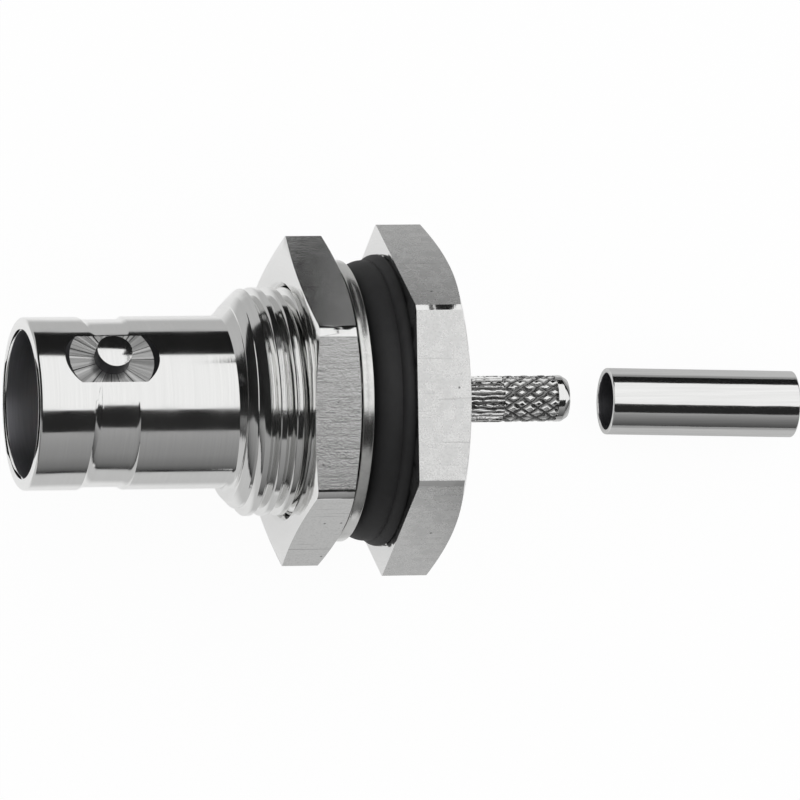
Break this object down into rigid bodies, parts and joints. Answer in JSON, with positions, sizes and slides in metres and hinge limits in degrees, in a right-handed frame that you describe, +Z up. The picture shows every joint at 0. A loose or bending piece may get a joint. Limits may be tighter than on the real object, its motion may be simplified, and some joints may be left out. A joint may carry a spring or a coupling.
{
  "type": "bnc connector",
  "caption": "Bulkhead bayonet coaxial jack with hexagonal flange, threaded shank, panel nut, lock washer, sealing ring, knurled crimp stub and loose crimp ferrule.",
  "frame": {"origin": "on the connector's axis, in the plane of the flange face that bears on the panel", "axes": "+X along the axis towards the cable end, so the mating mouth faces -X; +Z up, with the hexagonal flange lying on one of its flats"},
  "size_m": [0.0464, 0.0196, 0.017],
  "materials": {
    "nickel_plate": "bright nickel plate over turned brass",
    "nut_plate": "nickel plate over hexagonal brass bar",
    "washer_metal": "nickel plate over phosphor bronze",
    "seal_rubber": "smooth black moulded rubber",
    "insulator_plastic": "waxy white fluoropolymer",
    "contact_gold": "gold plate over brass"
  },
  "bodies": {
    "connector": {"body_shell": "nickel_plate", "front_insulator": "insulator_plastic", "centre_contact": "contact_gold", "rear_insulator": "insulator_plastic", "crimp_stub": "nickel_plate", "sealing_ring": "seal_rubber", "crimp_ferrule": "nickel_plate"},
    "washer": {"lock_washer": "washer_metal"},
    "nut": {"hex_nut": "nut_plate"}
  },
  "joints": [
    {"name": "nut_travel", "type": "slide", "parent": "connector", "child": "washer", "axis": [-1, 0, 0], "range_m": [0, 0.005]},
    {"name": "nut_turn", "type": "hinge", "parent": "washer", "child": "nut", "pos_m": [-0.0042, 0, 0], "axis": [-1, 0, 0], "range_deg": [0, 1980]}
  ],
  "couplings": [
    {"joint": "nut_travel", "follows": "nut_turn", "m_per_rad": 0.00014435}
  ]
}
